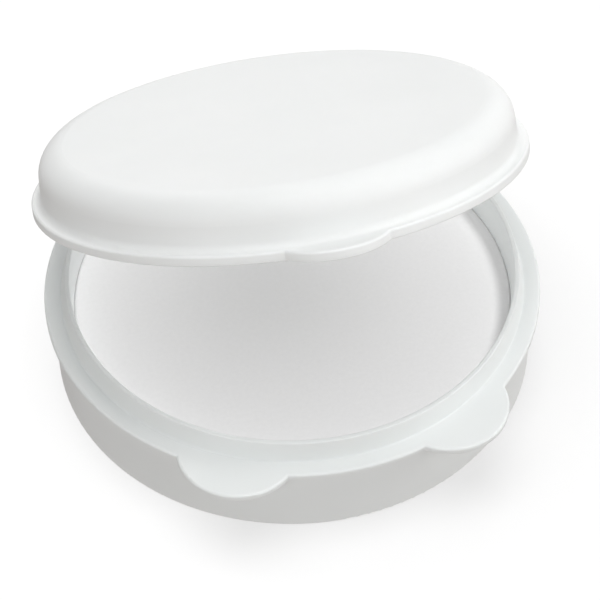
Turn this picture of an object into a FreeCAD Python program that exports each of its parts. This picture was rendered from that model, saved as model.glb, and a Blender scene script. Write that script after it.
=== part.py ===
"""Round flip-top wet palette: a double-walled tub, a domed lid on a pin hinge, a sponge and a paper.

Frame, in millimetres: the origin is the centre of the flat underside, on the tub's axis.
+Z is up, -Y is the front with the finger tabs, and the hinge is at the back, along X.
The lid is drawn closed and then swung open about its hinge to the rest pose.
"""
import FreeCAD
import Part
import Sketcher
import os

SIZES = {
    # tub, outside
    "flange_radius": 82.5,
    "flange_top": 28.5,
    "flange_thick": 2.4,
    "skirt_radius": 80.4,
    "skirt_draft": 0.4,
    "skirt_wall": 1.8,
    # tub, inside
    "tub_radius": 73.2,
    "tub_draft": 0.8,
    "tub_wall": 1.8,
    "floor_thick": 2.0,
    # snap collar that stands on the flange
    "collar_height": 6.75,
    "collar_inner": 73.7,
    "collar_outer_top": 75.3,
    "collar_outer_base": 77.0,
    # finger tabs
    "tab_radius": 19.5,
    "tab_centre": 72.9,
    "tab_angle": 28.2,
    "lid_tab_radius": 20.6,
    "lid_tab_centre": 66.7,
    "tab_root_round": 0.8,
    # lid, measured closed
    "lid_gap": 0.4,
    "lid_flange_radius": 81.1,
    "lid_flange_thick": 3.2,
    "lid_mouth_radius": 77.4,
    "lid_mouth_height": 6.8,
    "lid_wall_base": 77.8,
    "lid_wall_top": 76.9,
    "lid_height": 19.6,
    "lid_wall": 1.9,
    "lid_shoulder": 9.0,
    "lid_open": 26.7,
    # hinge
    "hinge_back": 86.7,
    "hinge_up": 21.7,
    "hinge_pin_radius": 1.25,
    "hinge_pin_end_round": 0.4,
    "press_overlap": 0.01,
    "running_gap": 0.05,
    "barrel_radius": 3.6,
    "knuckle_mid": 8.0,
    "knuckle_end": 6.0,
    "hinge_arm": 11.2,
    "knuckle_gap": 0.4,
    "arm_face": 83.3,
    "arm_thick": 3.4,
    "arm_root": 78.5,
    "gusset_drop": 10.0,
    "bracket_root_mid": 79.2,
    "bracket_root_end": 77.0,
    # stiffening ribs between the two walls
    "rib_count": 12.0,
    "rib_thick": 1.2,
    "rib_foot": 4.0,
    "rib_inner": 74.0,
    "rib_outer": 79.0,
    "rib_bite": 0.8,
    # roundings
    "edge_top_round": 0.8,
    "edge_low_round": 0.4,
    "collar_root_round": 0.5,
    "collar_edge_round": 0.45,
    "skirt_foot_round": 0.8,
    "floor_round": 1.2,
    "lid_root_round": 2.2,
    "arm_round": 1.4,
    # contents
    "sponge_radius": 71.6,
    "sponge_thick": 20.7,
    "sponge_round": 2.2,
    "paper_radius": 72.4,
    "paper_thick": 0.3,
}
FULL_TURN = 360.0
TOUCHING = 1e-4


class Size:
    """A length that carries both its value and the sheet expression that drives it."""

    def __init__(self, value, text):
        self.value = value
        self.text = text

    def __add__(self, other):
        return Size(self.value + other.value, "(%s + %s)" % (self.text, other.text))

    def __sub__(self, other):
        return Size(self.value - other.value, "(%s - %s)" % (self.text, other.text))

    def __neg__(self):
        return Size(-self.value, "(0 - %s)" % self.text)

    def half(self):
        return Size(self.value / 2, "(%s / 2)" % self.text)


ZERO = Size(0.0, "0")


def size(name):
    return Size(SIZES[name], "Sizes.%s" % name)


def make_sheet(doc):
    """Write every driving dimension into the sheet as a plain number with an alias."""
    sheet = doc.addObject("Spreadsheet::Sheet", "Sizes")
    for row, (alias, number) in enumerate(SIZES.items(), start=1):
        sheet.set("A%d" % row, alias)
        sheet.set("B%d" % row, str(number))
        sheet.setAlias("B%d" % row, alias)
    doc.recompute()
    return sheet


def make_body(doc, label):
    """A body has the node's name as its label."""
    name = "".join(word.capitalize() for word in label.split("_"))
    body = doc.addObject("PartDesign::Body", name)
    body.Label = label
    return body


def origin_feature(body, role):
    for feature in body.Origin.OriginFeatures:
        if feature.Role == role:
            return feature
    raise ValueError("no origin feature with the role " + role)


def make_sketch(body, name, role, lift=None, turn=None):
    """Attach a sketch to one of the body's own origin planes, moved along and turned about its normal."""
    sketch = body.newObject("Sketcher::SketchObject", name)
    sketch.AttachmentSupport = [(origin_feature(body, role), "")]
    sketch.MapMode = "FlatFace"
    if turn is not None:
        normal = FreeCAD.Vector(0, 0, 1)
        rotation = FreeCAD.Rotation(normal, turn.value)
        sketch.AttachmentOffset = FreeCAD.Placement(FreeCAD.Vector(), rotation)
        sketch.setExpression("AttachmentOffset.Rotation.Angle", "%s * 1 deg" % turn.text)
    if lift is not None:
        sketch.setExpression("AttachmentOffset.Base.z", lift.text)
    return sketch


def place_point(sketch, geometry, position, across, up):
    """Tie one point of a sketch to the sheet by its two distances from the origin."""
    for kind, distance in (("DistanceX", across), ("DistanceY", up)):
        constraint = Sketcher.Constraint(kind, -1, 1, geometry, position, distance.value)
        index = sketch.addConstraint(constraint)
        sketch.setExpression("Constraints[%d]" % index, distance.text)


def draw_outline(sketch, points):
    """A closed outline of straight lines through the given points."""
    corners = [FreeCAD.Vector(across.value, up.value, 0) for across, up in points]
    count = len(corners)
    for index in range(count):
        sketch.addGeometry(Part.LineSegment(corners[index], corners[(index + 1) % count]))
    for index in range(count):
        following = (index + 1) % count
        sketch.addConstraint(Sketcher.Constraint("Coincident", index, 2, following, 1))
    for index, (across, up) in enumerate(points):
        place_point(sketch, index, 1, across, up)


def draw_circle(sketch, across, up, radius):
    centre = FreeCAD.Vector(across.value, up.value, 0)
    normal = FreeCAD.Vector(0, 0, 1)
    index = sketch.addGeometry(Part.Circle(centre, normal, radius.value))
    place_point(sketch, index, 3, across, up)
    constraint = sketch.addConstraint(Sketcher.Constraint("Radius", index, radius.value))
    sketch.setExpression("Constraints[%d]" % constraint, radius.text)


def turn_outline(body, name, points, kind="PartDesign::Revolution"):
    """Revolve an outline of (radius, height) points a full turn about the body's Z axis."""
    sketch = make_sketch(body, name + "Outline", "XZ_Plane")
    draw_outline(sketch, points)
    feature = body.newObject(kind, name)
    feature.Profile = sketch
    feature.ReferenceAxis = (sketch, ["V_Axis"])
    feature.Angle = FULL_TURN
    body.Document.recompute()
    return feature


def pad_sketch(body, name, sketch, length, symmetric=False, kind="PartDesign::Pad"):
    feature = body.newObject(kind, name)
    feature.Profile = sketch
    feature.SideType = "Symmetric" if symmetric else "One side"
    feature.setExpression("Length", length.text)
    body.Document.recompute()
    return feature


def round_edges(body, name, radius, chosen):
    """Fillet the edges of the body's present tip that a test picks out."""
    base = body.Tip
    names = ["Edge%d" % (index + 1) for index, edge in enumerate(base.Shape.Edges) if chosen(edge)]
    if not names:
        raise ValueError("no edges found for " + name)
    feature = body.newObject("PartDesign::Fillet", name)
    feature.Base = (base, names)
    feature.setExpression("Radius", radius.text)
    body.Document.recompute()
    return feature


def is_ring(radius, height):
    """A test for edges that run round the Z axis at one radius and height."""
    def chosen(edge):
        for vertex in edge.Vertexes:
            point = vertex.Point
            if abs((point.x ** 2 + point.y ** 2) ** 0.5 - radius.value) > TOUCHING:
                return False
            if abs(point.z - height.value) > TOUCHING:
                return False
        middle = edge.valueAt((edge.FirstParameter + edge.LastParameter) / 2)
        return abs((middle.x ** 2 + middle.y ** 2) ** 0.5 - radius.value) < TOUCHING
    return chosen


def is_outer_rim(height):
    """A test for the outermost level edges of a flange and its tabs at one height."""
    def chosen(edge):
        box = edge.BoundBox
        level = abs(box.ZMin - height.value) < TOUCHING and abs(box.ZMax - height.value) < TOUCHING
        middle = edge.valueAt((edge.FirstParameter + edge.LastParameter) / 2)
        outside = (middle.x ** 2 + middle.y ** 2) ** 0.5 > SIZES["lid_flange_radius"] - TOUCHING
        return level and outside
    return chosen


def is_tab_root(low, high):
    """A test for the upright edges where a finger tab leaves its flange."""
    def chosen(edge):
        box = edge.BoundBox
        upright = abs(box.ZMin - low.value) < TOUCHING and abs(box.ZMax - high.value) < TOUCHING
        thin = box.XLength < TOUCHING and box.YLength < TOUCHING
        return upright and thin and box.YMin < 0
    return chosen


def add_tab(body, name, underside, thick, centre, radius, turn=None):
    """A finger tab is a disc that stands out past the flange, level with it."""
    sketch = make_sketch(body, name + "Outline", "XY_Plane", lift=underside, turn=turn)
    draw_circle(sketch, ZERO, -centre, radius)
    return pad_sketch(body, name, sketch, thick)


def tub_outer_outline():
    """Half section of the tub's outside, solid to the axis: skirt, flange and collar."""
    underside = size("flange_top") - size("flange_thick")
    collar_top = size("flange_top") + size("collar_height")
    return [
        (ZERO, ZERO),
        (size("skirt_radius") - size("skirt_draft"), ZERO),
        (size("skirt_radius"), underside),
        (size("flange_radius"), underside),
        (size("flange_radius"), size("flange_top")),
        (size("collar_outer_base"), size("flange_top")),
        (size("collar_outer_top"), collar_top),
        (ZERO, collar_top),
    ]


def tub_hollow_outline():
    """Half section of the space that holds the sponge, with a little draft."""
    collar_top = size("flange_top") + size("collar_height")
    return [
        (ZERO, size("floor_thick")),
        (size("tub_radius") - size("tub_draft"), size("floor_thick")),
        (size("tub_radius"), size("flange_top")),
        (size("collar_inner"), collar_top),
        (size("collar_inner"), collar_top + size("flange_thick")),
        (ZERO, collar_top + size("flange_thick")),
    ]


def tub_channel_outline():
    """Half section of the channel between the tub wall and the skirt, open underneath."""
    underside = size("flange_top") - size("flange_thick")
    skirt_inner = size("skirt_radius") - size("skirt_wall")
    tub_outer = size("tub_radius") + size("tub_wall")
    return [
        (tub_outer - size("tub_draft"), -size("floor_thick")),
        (skirt_inner - size("skirt_draft"), -size("floor_thick")),
        (skirt_inner, underside),
        (tub_outer, underside),
    ]


def add_ribs(body):
    """Radial ribs tie the skirt to the tub wall inside the channel."""
    underside = size("flange_top") - size("flange_thick")
    sketch = make_sketch(body, "RibOutline", "XZ_Plane")
    draw_outline(sketch, [
        (size("rib_inner"), size("rib_foot")),
        (size("rib_outer"), size("rib_foot")),
        (size("rib_outer"), underside + size("rib_bite")),
        (size("rib_inner"), underside + size("rib_bite")),
    ])
    rib = pad_sketch(body, "Rib", sketch, size("rib_thick"), symmetric=True)
    pattern = body.newObject("PartDesign::PolarPattern", "Ribs")
    pattern.Originals = [rib]
    pattern.Axis = (origin_feature(body, "Z_Axis"), [""])
    pattern.Angle = FULL_TURN
    pattern.setExpression("Occurrences", "Sizes.rib_count")
    body.Tip = pattern
    body.Document.recompute()


def bracket_outline(root):
    """Side view (along Y, up) of a base knuckle's bracket, from its root in the skirt to the barrel."""
    barrel_top = size("hinge_up") + size("barrel_radius")
    barrel_bottom = size("hinge_up") - size("barrel_radius")
    return [
        (root, barrel_bottom - size("gusset_drop")),
        (size("hinge_back"), barrel_bottom),
        (size("hinge_back"), barrel_top),
        (root, barrel_top),
    ]


def knuckle_centres():
    """Where the three base knuckles and the two lid arms sit along the hinge."""
    arm = (size("knuckle_mid") + size("hinge_arm")).half() + size("knuckle_gap")
    end = arm + (size("hinge_arm") + size("knuckle_end")).half() + size("knuckle_gap")
    return arm, end


def hinge_length():
    end = knuckle_centres()[1]
    half = end + size("knuckle_end").half()
    return half + half


def add_barrel(body, name, centre, width, side):
    """A hinge barrel along X with a web that joins it to its wall."""
    low = centre - width.half()
    web = make_sketch(body, name + "WebOutline", "YZ_Plane", lift=low)
    draw_outline(web, side)
    pad_sketch(body, name + "Web", web, width)
    ring = make_sketch(body, name + "BarrelOutline", "YZ_Plane", lift=low)
    draw_circle(ring, size("hinge_back"), size("hinge_up"), size("barrel_radius"))
    pad_sketch(body, name + "Barrel", ring, width)


def bore_hinge(body, radius):
    """Cut the pin's hole through every barrel of a body."""
    before = body.Tip.Shape.Volume
    sketch = make_sketch(body, "BoreOutline", "YZ_Plane")
    draw_circle(sketch, size("hinge_back"), size("hinge_up"), radius)
    pad_sketch(body, "Bore", sketch, hinge_length() + size("barrel_radius"), True, "PartDesign::Pocket")
    if body.Tip.Shape.Volume > before - TOUCHING:
        raise ValueError("the hinge bore cut nothing in " + body.Label)


def turned_cut(body, name, points):
    """Groove an outline out of the body and make sure that it cut something."""
    before = body.Tip.Shape.Volume
    turn_outline(body, name, points, "PartDesign::Groove")
    if body.Tip.Shape.Volume > before - TOUCHING:
        raise ValueError(name + " cut nothing in " + body.Label)


def make_tub(doc):
    body = make_body(doc, "base_tub")
    underside = size("flange_top") - size("flange_thick")
    collar_top = size("flange_top") + size("collar_height")
    skirt_foot = size("skirt_radius") - size("skirt_draft")
    floor_radius = size("tub_radius") - size("tub_draft")
    turn_outline(body, "TubOutside", tub_outer_outline())
    for name, turn in (("LeftTab", -size("tab_angle")), ("RightTab", size("tab_angle"))):
        add_tab(body, name, underside, size("flange_thick"), size("tab_centre"), size("tab_radius"), turn)
    round_edges(body, "TabRoots", size("tab_root_round"), is_tab_root(underside, size("flange_top")))
    round_edges(body, "FlangeTopEdge", size("edge_top_round"), is_outer_rim(size("flange_top")))
    round_edges(body, "FlangeLowEdge", size("edge_low_round"), is_outer_rim(underside))
    turned_cut(body, "TubHollow", tub_hollow_outline())
    turned_cut(body, "TubChannel", tub_channel_outline())
    for name, rounding, radius, height in (
            ("CollarRoot", "collar_root_round", size("collar_outer_base"), size("flange_top")),
            ("CollarOuterEdge", "collar_edge_round", size("collar_outer_top"), collar_top),
            ("CollarInnerEdge", "collar_edge_round", size("collar_inner"), collar_top),
            ("SkirtFoot", "skirt_foot_round", skirt_foot, ZERO),
            ("FloorCorner", "floor_round", floor_radius, size("floor_thick"))):
        round_edges(body, name, size(rounding), is_ring(radius, height))
    add_ribs(body)
    end = knuckle_centres()[1]
    middle_side = bracket_outline(size("bracket_root_mid"))
    end_side = bracket_outline(size("bracket_root_end"))
    add_barrel(body, "MiddleKnuckle", ZERO, size("knuckle_mid"), middle_side)
    add_barrel(body, "LeftKnuckle", -end, size("knuckle_end"), end_side)
    add_barrel(body, "RightKnuckle", end, size("knuckle_end"), end_side)
    bore_hinge(body, size("hinge_pin_radius") - size("press_overlap"))
    return body


def lid_levels():
    """Heights of the closed lid: the underside of its flange, the flange's top and the top."""
    flange_low = size("flange_top") + size("lid_gap")
    return flange_low, flange_low + size("lid_flange_thick"), flange_low + size("lid_height")


def lid_outer_outline():
    """Half section of the lid's outside, solid to the axis."""
    flange_low, flange_high, top = lid_levels()
    return [
        (ZERO, flange_low),
        (size("lid_flange_radius"), flange_low),
        (size("lid_flange_radius"), flange_high),
        (size("lid_wall_base"), flange_high),
        (size("lid_wall_top"), top),
        (ZERO, top),
    ]


def lid_hollow_outline():
    """Half section of the space inside the lid, with a tapered mouth that goes over the collar."""
    flange_low, _, top = lid_levels()
    return [
        (ZERO, flange_low - size("lid_gap")),
        (size("lid_mouth_radius"), flange_low - size("lid_gap")),
        (size("lid_mouth_radius"), flange_low),
        (size("lid_wall_base") - size("lid_wall"), flange_low + size("lid_mouth_height")),
        (size("lid_wall_top") - size("lid_wall"), top - size("lid_wall")),
        (ZERO, top - size("lid_wall")),
    ]


def arm_outline():
    """Side view (along Y, up) of a lid arm: back over the tub's flange, then down to the pin."""
    flange_low, flange_high, _ = lid_levels()
    back = size("arm_face") + size("arm_thick")
    return [
        (size("arm_root"), flange_low),
        (size("arm_face"), flange_low),
        (size("arm_face"), size("hinge_up")),
        (back, size("hinge_up")),
        (back, flange_high - size("arm_round")),
        (back - size("arm_round"), flange_high),
        (size("arm_root"), flange_high),
    ]


def swing_open(body):
    """Turn the closed lid about the hinge axis to its rest pose, driven by the sheet."""
    opening = "Sizes.lid_open * 1 deg"
    back = "Sizes.hinge_back"
    up = "Sizes.hinge_up"
    rotation = FreeCAD.Rotation(FreeCAD.Vector(-1, 0, 0), SIZES["lid_open"])
    body.Placement = FreeCAD.Placement(FreeCAD.Vector(), rotation)
    body.setExpression("Placement.Rotation.Angle", opening)
    body.setExpression("Placement.Base.y", "%s * (1 - cos(%s)) - %s * sin(%s)" % (back, opening, up, opening))
    body.setExpression("Placement.Base.z", "%s * (1 - cos(%s)) + %s * sin(%s)" % (up, opening, back, opening))


def make_lid(doc):
    body = make_body(doc, "lid")
    flange_low, flange_high, top = lid_levels()
    turn_outline(body, "LidOutside", lid_outer_outline())
    tab_centre, tab_radius = size("lid_tab_centre"), size("lid_tab_radius")
    add_tab(body, "LidTab", flange_low, size("lid_flange_thick"), tab_centre, tab_radius)
    round_edges(body, "LidTabRoots", size("tab_root_round"), is_tab_root(flange_low, flange_high))
    round_edges(body, "LidFlangeTopEdge", size("edge_top_round"), is_outer_rim(flange_high))
    round_edges(body, "LidFlangeLowEdge", size("edge_low_round"), is_outer_rim(flange_low))
    turned_cut(body, "LidHollow", lid_hollow_outline())
    inner_top = size("lid_wall_top") - size("lid_wall")
    inner_round = size("lid_shoulder") - size("lid_wall")
    round_edges(body, "LidInnerShoulder", inner_round, is_ring(inner_top, top - size("lid_wall")))
    round_edges(body, "LidShoulder", size("lid_shoulder"), is_ring(size("lid_wall_top"), top))
    round_edges(body, "LidRoot", size("lid_root_round"), is_ring(size("lid_wall_base"), flange_high))
    arm = knuckle_centres()[0]
    add_barrel(body, "LeftArm", -arm, size("hinge_arm"), arm_outline())
    add_barrel(body, "RightArm", arm, size("hinge_arm"), arm_outline())
    bore_hinge(body, size("hinge_pin_radius") + size("running_gap"))
    swing_open(body)
    return body


def make_pin(doc):
    body = make_body(doc, "hinge_pin")
    sketch = make_sketch(body, "PinOutline", "YZ_Plane")
    draw_circle(sketch, size("hinge_back"), size("hinge_up"), size("hinge_pin_radius"))
    pad_sketch(body, "Pin", sketch, hinge_length(), symmetric=True)
    round_edges(body, "PinEnds", size("hinge_pin_end_round"), lambda edge: edge.BoundBox.XLength < TOUCHING)
    return body


def make_disc(doc, label, radius, low, thick):
    body = make_body(doc, label)
    sketch = make_sketch(body, label.split("_")[0].capitalize() + "Outline", "XY_Plane", lift=low)
    draw_circle(sketch, ZERO, ZERO, radius)
    pad_sketch(body, label.split("_")[0].capitalize() + "Disc", sketch, thick)
    return body


def make_sponge(doc):
    """The sponge lies on the tub's floor, with soft edges."""
    low = size("floor_thick")
    body = make_disc(doc, "sponge", size("sponge_radius"), low, size("sponge_thick"))
    for name, height in (("SpongeLowEdge", low), ("SpongeTopEdge", low + size("sponge_thick"))):
        round_edges(body, name, size("sponge_round"), is_ring(size("sponge_radius"), height))
    return body


def make_paper(doc):
    """The palette paper lies on the sponge."""
    low = size("floor_thick") + size("sponge_thick")
    return make_disc(doc, "palette_paper", size("paper_radius"), low, size("paper_thick"))


def check_document(doc):
    for item in doc.Objects:
        if "Invalid" in item.State or "Error" in item.State:
            raise RuntimeError("%s is %s" % (item.Name, item.State))


def write_part(body):
    shape = body.Shape
    if shape.isNull() or not shape.isValid() or len(shape.Solids) != 1:
        raise RuntimeError("%s has no single valid solid" % body.Label)
    shape.exportStep(os.path.join("parts", body.Label + ".step"))
    print(body.Label, "volume %.0f mm3" % shape.Volume, "height %.2f mm" % shape.BoundBox.ZMax)


def main():
    os.makedirs("parts", exist_ok=True)
    doc = FreeCAD.newDocument("WetPalette")
    make_sheet(doc)
    bodies = [make(doc) for make in (make_tub, make_lid, make_pin, make_sponge, make_paper)]
    doc.recompute()
    check_document(doc)
    for body in bodies:
        write_part(body)


main()
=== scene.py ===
"""Looks of the round wet palette: moulded white plastic, damp foam and a sheet of palette paper.

Everything is in metres, in the part's own frame: +Z up, -Y to the front, the hinge at the back.
"""
import bpy
import math
from mathutils import Matrix, Vector, noise


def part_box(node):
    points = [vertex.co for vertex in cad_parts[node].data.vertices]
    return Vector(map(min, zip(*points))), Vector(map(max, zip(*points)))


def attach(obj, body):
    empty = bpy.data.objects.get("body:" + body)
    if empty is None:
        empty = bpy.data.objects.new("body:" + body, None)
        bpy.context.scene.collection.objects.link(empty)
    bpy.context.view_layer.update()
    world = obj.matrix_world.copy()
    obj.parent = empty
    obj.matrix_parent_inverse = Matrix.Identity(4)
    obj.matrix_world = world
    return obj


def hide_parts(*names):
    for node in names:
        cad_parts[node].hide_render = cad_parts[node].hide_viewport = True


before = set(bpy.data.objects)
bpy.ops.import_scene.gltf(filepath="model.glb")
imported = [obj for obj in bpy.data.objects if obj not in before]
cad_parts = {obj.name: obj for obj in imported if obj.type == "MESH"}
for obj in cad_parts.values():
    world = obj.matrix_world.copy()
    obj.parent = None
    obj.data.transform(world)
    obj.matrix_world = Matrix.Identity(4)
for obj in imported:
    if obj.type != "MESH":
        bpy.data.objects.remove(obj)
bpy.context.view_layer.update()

MM = 0.001
WHITE = (1.0, 1.0, 1.0)

tub_low, tub_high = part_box("base_tub")
sponge_low, sponge_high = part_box("sponge")
COLLAR_HEIGHT = 6.75 * MM
FLANGE_TOP = tub_high.z - COLLAR_HEIGHT
FLANGE_RADIUS = (tub_high.x - tub_low.x) / 2
SPONGE_RADIUS = (sponge_high.x - sponge_low.x) / 2
SPONGE_TOP = sponge_high.z
SPONGE_FLOOR = sponge_low.z


# ---------------------------------------------------------------- camera

CAMERA_AZIMUTH = math.radians(-13.87)
CAMERA_ELEVATION = math.radians(47.4)
CAMERA_ROLL = math.radians(-1.27)
CAMERA_DISTANCE = 9.695 * FLANGE_RADIUS
CAMERA_LENS = 144.0
CAMERA_SENSOR = 36.0
CAMERA_SHIFT = (0.0135, -0.0332)


def direction(azimuth, elevation):
    """A unit vector away from the palette. Azimuth turns from the front towards the right."""
    flat = math.cos(elevation)
    return Vector((math.sin(azimuth) * flat, -math.cos(azimuth) * flat, math.sin(elevation)))


def make_camera():
    """A long lens at the photographer's angle, aimed at the middle of the flange."""
    data = bpy.data.cameras.new("camera")
    data.lens = CAMERA_LENS
    data.sensor_width = CAMERA_SENSOR
    data.shift_x, data.shift_y = CAMERA_SHIFT
    camera = bpy.data.objects.new("camera", data)
    bpy.context.scene.collection.objects.link(camera)
    away = direction(CAMERA_AZIMUTH, CAMERA_ELEVATION)
    target = Vector((0, 0, FLANGE_TOP))
    aim = (-away).to_track_quat("-Z", "Y").to_matrix().to_4x4()
    roll = Matrix.Rotation(CAMERA_ROLL, 4, "Z")
    camera.matrix_world = Matrix.Translation(target + away * CAMERA_DISTANCE) @ aim @ roll
    bpy.context.scene.camera = camera


# ---------------------------------------------------------------- light and table

LIGHT_DISTANCE = 1.6
SKY_STRENGTH = 0.10
BACKDROP_STRENGTH = 1.05
TABLE_DROP = 0.2 * MM
TABLE_HALF = 6.0
TABLE_ALBEDO = 0.30
TABLE_ROUGHNESS = 0.9
TABLE_GLOW = 0.68
BOUNCE_COLOR = (1.0, 0.93, 0.89)
BOUNCE_GLOW = 0.46


def group_of(name, pieces):
    """A named group of pieces, for a light to reach or to be blocked by."""
    group = bpy.data.collections.new(name)
    for piece in pieces:
        group.objects.link(piece)
    return group


def make_softbox(name, azimuth, elevation, size, power, reaches, blocked_by=None):
    """A round soft light aimed at the tub, its angles in degrees. Blockers, if given, alone can shade it."""
    data = bpy.data.lights.new(name, "AREA")
    data.shape = "DISK"
    data.size = size
    data.energy = power
    light = bpy.data.objects.new(name, data)
    bpy.context.scene.collection.objects.link(light)
    away = direction(math.radians(azimuth), math.radians(elevation))
    light.rotation_mode = "QUATERNION"
    light.rotation_quaternion = (-away).to_track_quat("-Z", "Y")
    light.location = Vector((0, 0, FLANGE_TOP)) + away * LIGHT_DISTANCE
    light.light_linking.receiver_collection = group_of(name + "_reaches", reaches)
    if blocked_by is not None:
        light.light_linking.blocker_collection = group_of(name + "_blocked_by", blocked_by)


def add_camera_switch(nodes, links, unseen, seen):
    """One shader where the camera looks straight at a surface, another for every other ray."""
    rays = nodes.new("ShaderNodeLightPath")
    switch = nodes.new("ShaderNodeMixShader")
    links.new(rays.outputs["Is Camera Ray"], switch.inputs["Fac"])
    links.new(unseen, switch.inputs[1])
    links.new(seen, switch.inputs[2])
    return switch


def make_world():
    """A weak even sky that lights the object, and a white backdrop behind it."""
    world = bpy.data.worlds.new("studio")
    world.use_nodes = True
    nodes, links = world.node_tree.nodes, world.node_tree.links
    nodes.clear()
    sky = nodes.new("ShaderNodeBackground")
    sky.inputs["Color"].default_value = (*WHITE, 1)
    sky.inputs["Strength"].default_value = SKY_STRENGTH
    backdrop = nodes.new("ShaderNodeBackground")
    backdrop.inputs["Color"].default_value = (*WHITE, 1)
    backdrop.inputs["Strength"].default_value = BACKDROP_STRENGTH
    switch = add_camera_switch(nodes, links, sky.outputs["Background"], backdrop.outputs["Background"])
    out = nodes.new("ShaderNodeOutputWorld")
    links.new(switch.outputs["Shader"], out.inputs["Surface"])
    bpy.context.scene.world = world


def make_table_material():
    """It looks overexposed, as a cut-out's ground does, but throws back only a weak warm light."""
    material, nodes, links = new_material("floor_white")
    shader = nodes["Principled BSDF"]
    shader.inputs["Base Color"].default_value = (TABLE_ALBEDO, TABLE_ALBEDO, TABLE_ALBEDO, 1)
    shader.inputs["Roughness"].default_value = TABLE_ROUGHNESS
    shader.inputs["Specular IOR Level"].default_value = 0.0
    shader.inputs["Emission Color"].default_value = (*WHITE, 1)
    shader.inputs["Emission Strength"].default_value = TABLE_GLOW
    bounce = nodes.new("ShaderNodeEmission")
    bounce.inputs["Color"].default_value = (*BOUNCE_COLOR, 1)
    bounce.inputs["Strength"].default_value = BOUNCE_GLOW
    switch = add_camera_switch(nodes, links, bounce.outputs["Emission"], shader.outputs["BSDF"])
    links.new(switch.outputs["Shader"], nodes["Material Output"].inputs["Surface"])
    return material


def make_floor():
    """A plain pale table just under the tub."""
    mesh = bpy.data.meshes.new("floor")
    half = TABLE_HALF
    corners = [(-half, -half, 0), (half, -half, 0), (half, half, 0), (-half, half, 0)]
    mesh.from_pydata(corners, [], [(0, 1, 2, 3)])
    mesh.materials.append(make_table_material())
    floor = bpy.data.objects.new("floor", mesh)
    bpy.context.scene.collection.objects.link(floor)
    floor.location.z = -TABLE_DROP
    return floor


def make_lights(moulded, paper, tub, floor):
    """Soft light from all sides but the left. The sheet and the table have lamps of their own."""
    make_softbox("right_key", azimuth=90, elevation=70, size=0.30, power=2.7, reaches=moulded)
    make_softbox("right_strip", azimuth=90, elevation=20, size=0.90, power=8.4, reaches=moulded)
    make_softbox("top_softbox", azimuth=0, elevation=88, size=0.90, power=8.2, reaches=moulded)
    make_softbox("back_softbox", azimuth=180, elevation=68, size=0.90, power=5.3, reaches=moulded)
    make_softbox("back_strip", azimuth=180, elevation=20, size=0.90, power=8.6, reaches=moulded)
    make_softbox("front_right_softbox", azimuth=45, elevation=20, size=0.90, power=8.1, reaches=moulded)
    make_softbox("front_left_softbox", azimuth=315, elevation=20, size=0.90, power=9.5, reaches=moulded)
    make_softbox("sheet_key", azimuth=102, elevation=63, size=0.40, power=12.4,
                 reaches=[paper], blocked_by=[tub])
    make_softbox("sheet_fill", azimuth=0, elevation=88, size=0.90, power=6.9,
                 reaches=[paper], blocked_by=[tub])
    make_softbox("table_lamp", azimuth=225, elevation=82, size=1.80, power=37.0,
                 reaches=[floor], blocked_by=moulded)


# ---------------------------------------------------------------- shader helpers

def new_material(name):
    """A material with a Principled shader, and its nodes and links."""
    material = bpy.data.materials.new(name)
    material.use_nodes = True
    return material, material.node_tree.nodes, material.node_tree.links


def add_noise(nodes, links, scale, detail, roughness=0.5, stretch=None):
    """Object-space noise, in cycles per metre, which may be stretched along an axis."""
    place = nodes.new("ShaderNodeTexCoord")
    texture = nodes.new("ShaderNodeTexNoise")
    texture.inputs["Scale"].default_value = scale
    texture.inputs["Detail"].default_value = detail
    texture.inputs["Roughness"].default_value = roughness
    source = place.outputs["Object"]
    if stretch is not None:
        mapping = nodes.new("ShaderNodeMapping")
        mapping.inputs["Scale"].default_value = stretch
        links.new(source, mapping.inputs["Vector"])
        source = mapping.outputs["Vector"]
    links.new(source, texture.inputs["Vector"])
    return texture.outputs["Fac"]


def add_cells(nodes, links, scale):
    """Round cells, in cells per metre: the distance from a point to the middle of its cell."""
    place = nodes.new("ShaderNodeTexCoord")
    cells = nodes.new("ShaderNodeTexVoronoi")
    cells.inputs["Scale"].default_value = scale
    links.new(place.outputs["Object"], cells.inputs["Vector"])
    return cells.outputs["Distance"]


def add_ramp(nodes, links, source, low, high, start, end):
    """Turn a value into a colour: low up to start, high from end on."""
    ramp = nodes.new("ShaderNodeValToRGB")
    ramp.color_ramp.elements[0].position = start
    ramp.color_ramp.elements[0].color = (*low, 1)
    ramp.color_ramp.elements[1].position = end
    ramp.color_ramp.elements[1].color = (*high, 1)
    links.new(source, ramp.inputs["Fac"])
    return ramp


def add_range(nodes, links, source, low, high, start, end):
    """Turn a value from start..end into one from low..high."""
    ramp = nodes.new("ShaderNodeMapRange")
    ramp.inputs["From Min"].default_value = start
    ramp.inputs["From Max"].default_value = end
    ramp.inputs["To Min"].default_value = low
    ramp.inputs["To Max"].default_value = high
    links.new(source, ramp.inputs["Value"])
    return ramp.outputs["Result"]


def add_bump(nodes, links, source, distance, strength, below=None):
    """Relief from a value, on top of an earlier relief if there is one."""
    bump = nodes.new("ShaderNodeBump")
    bump.inputs["Distance"].default_value = distance
    bump.inputs["Strength"].default_value = strength
    links.new(source, bump.inputs["Height"])
    if below is not None:
        links.new(below, bump.inputs["Normal"])
    return bump.outputs["Normal"]


def add_vector_math(nodes, links, operation, first, second=None, constant=None):
    """One step of vector arithmetic, with a second input or a constant."""
    step = nodes.new("ShaderNodeVectorMath")
    step.operation = operation
    links.new(first, step.inputs[0])
    if second is not None:
        links.new(second, step.inputs[1])
    if constant is not None:
        step.inputs[1].default_value = constant
    return step


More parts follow.
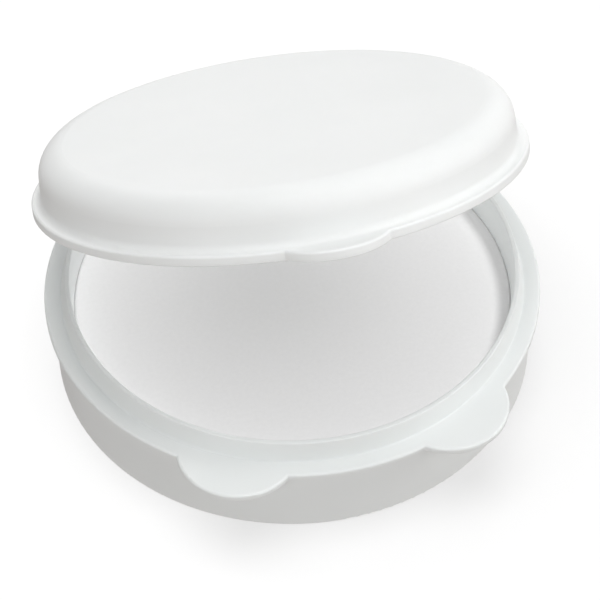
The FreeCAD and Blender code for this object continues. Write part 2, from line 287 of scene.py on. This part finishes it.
def add_distance(nodes, links, x, y):
    """How far a point lies from an upright line, in metres."""
    place = nodes.new("ShaderNodeTexCoord")
    shift = add_vector_math(nodes, links, "SUBTRACT", place.outputs["Object"], constant=(x, y, 0.0))
    level = add_vector_math(nodes, links, "MULTIPLY", shift.outputs["Vector"], constant=(1.0, 1.0, 0.0))
    return add_vector_math(nodes, links, "LENGTH", level.outputs["Vector"]).outputs["Value"]


# ---------------------------------------------------------------- materials

TUB_LIGHT = (0.80, 0.822, 0.817)
TUB_SHADE = (0.785, 0.809, 0.804)
LID_LIGHT = (0.81, 0.822, 0.818)
LID_SHADE = (0.795, 0.809, 0.805)
PLASTIC_IOR = 1.49
PLASTIC_SCATTER = 0.3
PLASTIC_SCATTER_COLOR = (1.0, 1.0, 0.95)
PLASTIC_SCATTER_DEPTH = 3.0 * MM
RUB_STRETCH = (1.0, 0.35, 1.0)
STEEL_DARK = (0.46, 0.46, 0.47)
STEEL_BRIGHT = (0.66, 0.66, 0.67)
DRAWN_STRETCH = (0.03, 1.0, 1.0)
FOAM_PIT_SHADE = (0.55, 0.55, 0.50)
FOAM_FACE = (0.80, 0.80, 0.75)
FOAM_ROUGHNESS = 0.62
FOAM_SCATTER = 0.2
FOAM_SCATTER_DEPTH = 2.0 * MM
# Painted shade on the sheet: darkest at a point near its middle, lighter out to its edge.
PAPER_SHADED = (0.566, 0.566, 0.566)
PAPER_UNSHADED = (0.80, 0.797, 0.80)
FIBRE_DARK = (0.965, 0.965, 0.965)
SHADE_CENTRE = (-7.4 * MM, 6.3 * MM)
SHADE_REACH = 82.0 * MM


def make_plastic(name, light, shade):
    """White moulded polypropylene: faint flow tone, spark-eroded texture, fine rubbed marks."""
    material, nodes, links = new_material(name)
    shader = nodes["Principled BSDF"]
    flow = add_noise(nodes, links, scale=26.0, detail=2.0)
    tone = add_ramp(nodes, links, flow, shade, light, start=0.35, end=0.65)
    links.new(tone.outputs["Color"], shader.inputs["Base Color"])
    rub = add_noise(nodes, links, scale=420.0, detail=4.0, roughness=0.6, stretch=RUB_STRETCH)
    gloss = add_range(nodes, links, rub, low=0.54, high=0.64, start=0.3, end=0.7)
    links.new(gloss, shader.inputs["Roughness"])
    grain = add_noise(nodes, links, scale=2600.0, detail=2.0)
    waves = add_noise(nodes, links, scale=55.0, detail=1.0)
    fine = add_bump(nodes, links, grain, distance=0.02 * MM, strength=0.5)
    wide = add_bump(nodes, links, waves, distance=0.12 * MM, strength=0.35, below=fine)
    links.new(wide, shader.inputs["Normal"])
    shader.inputs["Subsurface Weight"].default_value = PLASTIC_SCATTER
    shader.inputs["Subsurface Radius"].default_value = PLASTIC_SCATTER_COLOR
    shader.inputs["Subsurface Scale"].default_value = PLASTIC_SCATTER_DEPTH
    shader.inputs["IOR"].default_value = PLASTIC_IOR
    return material


def make_steel():
    """Drawn stainless wire, brushed along the pin."""
    material, nodes, links = new_material("pin_steel")
    shader = nodes["Principled BSDF"]
    drawn = add_noise(nodes, links, scale=1500.0, detail=3.0, roughness=0.6, stretch=DRAWN_STRETCH)
    tone = add_ramp(nodes, links, drawn, STEEL_DARK, STEEL_BRIGHT, start=0.3, end=0.7)
    links.new(tone.outputs["Color"], shader.inputs["Base Color"])
    gloss = add_range(nodes, links, drawn, low=0.22, high=0.42, start=0.3, end=0.7)
    links.new(gloss, shader.inputs["Roughness"])
    shader.inputs["Metallic"].default_value = 1.0
    return material


def make_foam():
    """Damp white foam with open cells, each cell darker towards its sunk middle: painted shade in the pits.
    """
    material, nodes, links = new_material("sponge_foam")
    shader = nodes["Principled BSDF"]
    cells = add_cells(nodes, links, scale=900.0)
    # Painted shade: the colour darkens where the pits sink deepest.
    tone = add_ramp(nodes, links, cells, FOAM_PIT_SHADE, FOAM_FACE, start=0.05, end=0.5)
    links.new(tone.outputs["Color"], shader.inputs["Base Color"])
    pits = add_bump(nodes, links, cells, distance=0.4 * MM, strength=0.8)
    links.new(pits, shader.inputs["Normal"])
    shader.inputs["Roughness"].default_value = FOAM_ROUGHNESS
    shader.inputs["Subsurface Weight"].default_value = FOAM_SCATTER
    shader.inputs["Subsurface Scale"].default_value = FOAM_SCATTER_DEPTH
    return material


def make_paper_material():
    """Palette parchment: darker towards a point near its middle, a painted shade, with pressed fibres and
    glossier patches.
    """
    material, nodes, links = new_material("palette_parchment")
    shader = nodes["Principled BSDF"]
    # Painted shade: the sheet's colour darkens towards a point near its middle.
    away = add_distance(nodes, links, *SHADE_CENTRE)
    shade_fade = add_range(nodes, links, away, low=0.0, high=1.0, start=0.0, end=SHADE_REACH)
    tone = add_ramp(nodes, links, shade_fade, PAPER_SHADED, PAPER_UNSHADED, start=0.0, end=1.0)
    tone.color_ramp.interpolation = "EASE"
    fibre = add_noise(nodes, links, scale=700.0, detail=4.0, roughness=0.65)
    speck = add_ramp(nodes, links, fibre, FIBRE_DARK, WHITE, start=0.3, end=0.7)
    mix = add_vector_math(nodes, links, "MULTIPLY", tone.outputs["Color"], speck.outputs["Color"])
    links.new(mix.outputs["Vector"], shader.inputs["Base Color"])
    damp = add_noise(nodes, links, scale=60.0, detail=2.0)
    gloss = add_range(nodes, links, damp, low=0.5, high=0.68, start=0.3, end=0.7)
    links.new(gloss, shader.inputs["Roughness"])
    tooth = add_bump(nodes, links, fibre, distance=0.03 * MM, strength=0.5)
    links.new(tooth, shader.inputs["Normal"])
    return material


# ---------------------------------------------------------------- pieces

QUARTER_TURN = math.pi / 2
SPONGE_STEPS = 520
SPONGE_EDGE = 2.2 * MM
SPONGE_FOOT_SHARES = (0.5, 0.9, 0.97)
SPONGE_FOOT_STEPS = 4
SPONGE_SIDE_STEPS = 18
SPONGE_RIM_STEPS = 10
SPONGE_TOP_STEPS = 40
LARGE_PORES = 420.0
LARGE_PORE_DEPTH = 0.55 * MM
SMALL_PORES = 1100.0
SMALL_PORE_DEPTH = 0.35 * MM

PAPER_RINGS = 90
PAPER_STEPS = 360
PAPER_RADIUS = 72.95 * MM
PAPER_THICK = 0.12 * MM
PAPER_REST = 0.2 * MM
PAPER_DROOP = 0.45 * MM
PAPER_DROOP_FROM = 68.0 * MM
LARGE_COCKLES = 38.0
LARGE_COCKLE_HEIGHT = 0.10 * MM
LARGE_COCKLE_LAYER = 3.7
SMALL_COCKLES = 90.0
SMALL_COCKLE_HEIGHT = 0.03 * MM
SMALL_COCKLE_LAYER = 8.1


def link_mesh(name, vertices, faces, material):
    """A smooth-shaded piece from vertices and faces."""
    mesh = bpy.data.meshes.new(name)
    mesh.from_pydata(vertices, [], faces)
    mesh.update()
    for polygon in mesh.polygons:
        polygon.use_smooth = True
    mesh.materials.append(material)
    piece = bpy.data.objects.new(name, mesh)
    bpy.context.scene.collection.objects.link(piece)
    return piece


def turned_mesh(profile, steps):
    """Vertices and faces of a closed turned form. The profile starts and ends on the axis."""
    vertices = [(0, 0, profile[0][1])]
    for radius, height in profile[1:-1]:
        for step in range(steps):
            turn = math.tau * step / steps
            vertices.append((radius * math.cos(turn), radius * math.sin(turn), height))
    vertices.append((0, 0, profile[-1][1]))
    rings = len(profile) - 2
    last = 1 + (rings - 1) * steps
    faces = []
    for step in range(steps):
        following = (step + 1) % steps
        faces.append((0, 1 + following, 1 + step))
        faces.append((len(vertices) - 1, last + step, last + following))
    for ring in range(rings - 1):
        low = 1 + ring * steps
        for step in range(steps):
            following = (step + 1) % steps
            faces.append((low + step, low + following, low + steps + following, low + steps + step))
    return vertices, faces


def sponge_profile():
    """Half section (radius, height) of the foam pad, from the middle of its underside to that of its top."""
    edge = SPONGE_EDGE
    flat = SPONGE_RADIUS - edge
    side_low, side_high = SPONGE_FLOOR + edge, SPONGE_TOP - edge
    profile = [(0.0, SPONGE_FLOOR)]
    profile += [(SPONGE_RADIUS * share, SPONGE_FLOOR) for share in SPONGE_FOOT_SHARES]
    for step in range(SPONGE_FOOT_STEPS + 1):
        turn = QUARTER_TURN * step / SPONGE_FOOT_STEPS
        profile.append((flat + edge * math.sin(turn), side_low - edge * math.cos(turn)))
    for step in range(1, SPONGE_SIDE_STEPS):
        profile.append((SPONGE_RADIUS, side_low + (side_high - side_low) * step / SPONGE_SIDE_STEPS))
    for step in range(SPONGE_RIM_STEPS + 1):
        turn = QUARTER_TURN * step / SPONGE_RIM_STEPS
        profile.append((flat + edge * math.cos(turn), side_high + edge * math.sin(turn)))
    profile += [(flat * (1 - step / SPONGE_TOP_STEPS), SPONGE_TOP) for step in range(1, SPONGE_TOP_STEPS)]
    profile.append((0.0, SPONGE_TOP))
    return profile


def pore_depth(point):
    """How far a foam surface sinks at a point, from two sizes of open cell."""
    large = noise.noise(Vector(point) * LARGE_PORES)
    small = noise.noise(Vector(point) * SMALL_PORES)
    return max(0.0, large) * LARGE_PORE_DEPTH + max(0.0, small) * SMALL_PORE_DEPTH


def sink_pores(point):
    """Sink a point of the pad's top or side into its pores. The underside stays flat."""
    x, y, z = point
    radius = math.hypot(x, y)
    depth = pore_depth(point)
    if z > SPONGE_TOP - SPONGE_EDGE and radius < SPONGE_RADIUS - SPONGE_EDGE:
        return x, y, z - depth
    if z > SPONGE_FLOOR + SPONGE_EDGE:
        share = (radius - depth) / radius
        return x * share, y * share, z
    return x, y, z


def make_sponge(material):
    """The damp foam pad: round-edged, with open pores in its side and top."""
    vertices, faces = turned_mesh(sponge_profile(), SPONGE_STEPS)
    sponge = link_mesh("damp_sponge", [sink_pores(point) for point in vertices], faces, material)
    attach(sponge, "base")
    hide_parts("sponge")
    return sponge


def cockle(x, y, waves, layer, height):
    """One size of damp ripple in the sheet."""
    return noise.noise(Vector((x * waves, y * waves, layer))) * height


def paper_height(x, y):
    """The sheet lies on the sponge, cockles a little and sinks at the sponge's soft edge."""
    ripple = cockle(x, y, LARGE_COCKLES, LARGE_COCKLE_LAYER, LARGE_COCKLE_HEIGHT)
    ripple += cockle(x, y, SMALL_COCKLES, SMALL_COCKLE_LAYER, SMALL_COCKLE_HEIGHT)
    over = max(0.0, math.hypot(x, y) - PAPER_DROOP_FROM) / (PAPER_RADIUS - PAPER_DROOP_FROM)
    return SPONGE_TOP + PAPER_REST + ripple - PAPER_DROOP * over ** 2


def disc_mesh(radius, rings, steps, height):
    """Vertices and faces of a disc whose height follows a function of x and y."""
    vertices = [(0, 0, height(0, 0))]
    for ring in range(1, rings + 1):
        ring_radius = radius * ring / rings
        for step in range(steps):
            turn = math.tau * step / steps
            x, y = ring_radius * math.cos(turn), ring_radius * math.sin(turn)
            vertices.append((x, y, height(x, y)))
    faces = [(0, 1 + step, 1 + (step + 1) % steps) for step in range(steps)]
    for ring in range(rings - 1):
        low = 1 + ring * steps
        for step in range(steps):
            following = (step + 1) % steps
            faces.append((low + step, low + steps + step, low + steps + following, low + following))
    return vertices, faces


def make_paper(material):
    """The sheet of palette paper, a thin disc laid on the sponge."""
    vertices, faces = disc_mesh(PAPER_RADIUS, PAPER_RINGS, PAPER_STEPS, paper_height)
    paper = link_mesh("palette_sheet", vertices, faces, material)
    solid = paper.modifiers.new("thickness", "SOLIDIFY")
    solid.thickness = PAPER_THICK
    solid.offset = -1.0
    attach(paper, "base")
    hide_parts("palette_paper")
    return paper


def set_material(node, material):
    """Put one material on every slot of a carried-over piece."""
    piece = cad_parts[node]
    for index in range(len(piece.material_slots)):
        piece.material_slots[index].material = material
    return piece


def main():
    bpy.context.scene.view_settings.view_transform = "Standard"
    make_camera()
    make_world()
    floor = make_floor()
    tub = set_material("base_tub", make_plastic("tub_plastic", TUB_LIGHT, TUB_SHADE))
    lid = set_material("lid", make_plastic("lid_plastic", LID_LIGHT, LID_SHADE))
    pin = set_material("hinge_pin", make_steel())
    sponge = make_sponge(make_foam())
    paper = make_paper(make_paper_material())
    make_lights([tub, lid, pin, sponge], paper, tub, floor)


main()
